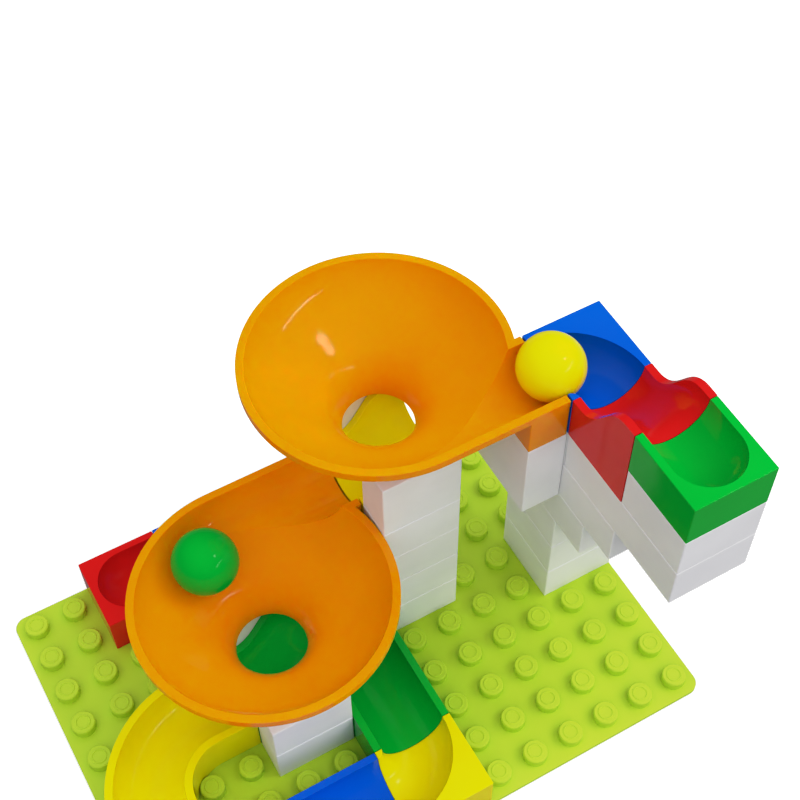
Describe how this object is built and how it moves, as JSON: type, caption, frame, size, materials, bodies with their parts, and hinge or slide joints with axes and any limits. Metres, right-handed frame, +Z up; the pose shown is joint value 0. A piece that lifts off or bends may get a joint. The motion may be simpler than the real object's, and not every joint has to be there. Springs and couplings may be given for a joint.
{
  "type": "marble run",
  "caption": "Marble run on a studded baseplate: funnels, slopes and bends of open track that lead marbles down past columns of hollow studded bricks.",
  "frame": {"origin": "centre of the baseplate's underside", "axes": "+X along the baseplate's long side, towards the tall tower; +Y away from the front edge; +Z up"},
  "size_m": [0.224, 0.16, 0.1556],
  "materials": {
    "lime_plastic": "satin",
    "white_plastic": "satin",
    "orange_plastic": "gloss",
    "yellow_plastic": "gloss",
    "red_plastic": "gloss",
    "green_plastic": "gloss",
    "blue_plastic": "gloss"
  },
  "bodies": {
    "run": {"base_plate": "lime_plastic", "tower_brick_1": "white_plastic", "tower_brick_2": "white_plastic", "tower_brick_3": "white_plastic", "arm_brick_1": "white_plastic", "arm_brick_2": "white_plastic", "arm_brick_3": "white_plastic", "tower_brick_4": "white_plastic", "start_brick": "white_plastic", "start_bowl": "green_plastic", "upper_slope": "red_plastic", "upper_corner": "blue_plastic", "inlet_support": "white_plastic", "column_brick_1": "white_plastic", "column_brick_2": "white_plastic", "column_brick_3": "white_plastic", "column_brick_4": "white_plastic", "column_brick_5": "white_plastic", "upper_funnel_prop": "white_plastic", "upper_funnel_rear_prop": "white_plastic", "middle_slope": "yellow_plastic", "upper_funnel": "orange_plastic", "front_post_brick_1": "white_plastic", "front_post_brick_2": "white_plastic", "rear_post_brick": "white_plastic", "lower_funnel_prop": "white_plastic", "lower_slope": "green_plastic", "lower_funnel": "orange_plastic", "front_bend": "yellow_plastic", "left_corner": "red_plastic", "front_straight": "blue_plastic", "right_corner": "yellow_plastic", "side_straight": "green_plastic", "rear_bend": "blue_plastic", "finish_bowl": "red_plastic"},
    "yellow_marble": {"yellow_marble": "yellow_plastic"},
    "green_marble": {"green_marble": "green_plastic"}
  },
  "joints": [
    {"name": "yellow_marble_roll", "type": "slide", "parent": "run", "child": "yellow_marble", "axis": [-1, 0, 0], "range_m": [0, 0.045]},
    {"name": "green_marble_circle", "type": "hinge", "parent": "run", "child": "green_marble", "pos_m": [-0.032, 0, 0.0788], "axis": [0, 0, 1], "continuous": true}
  ]
}
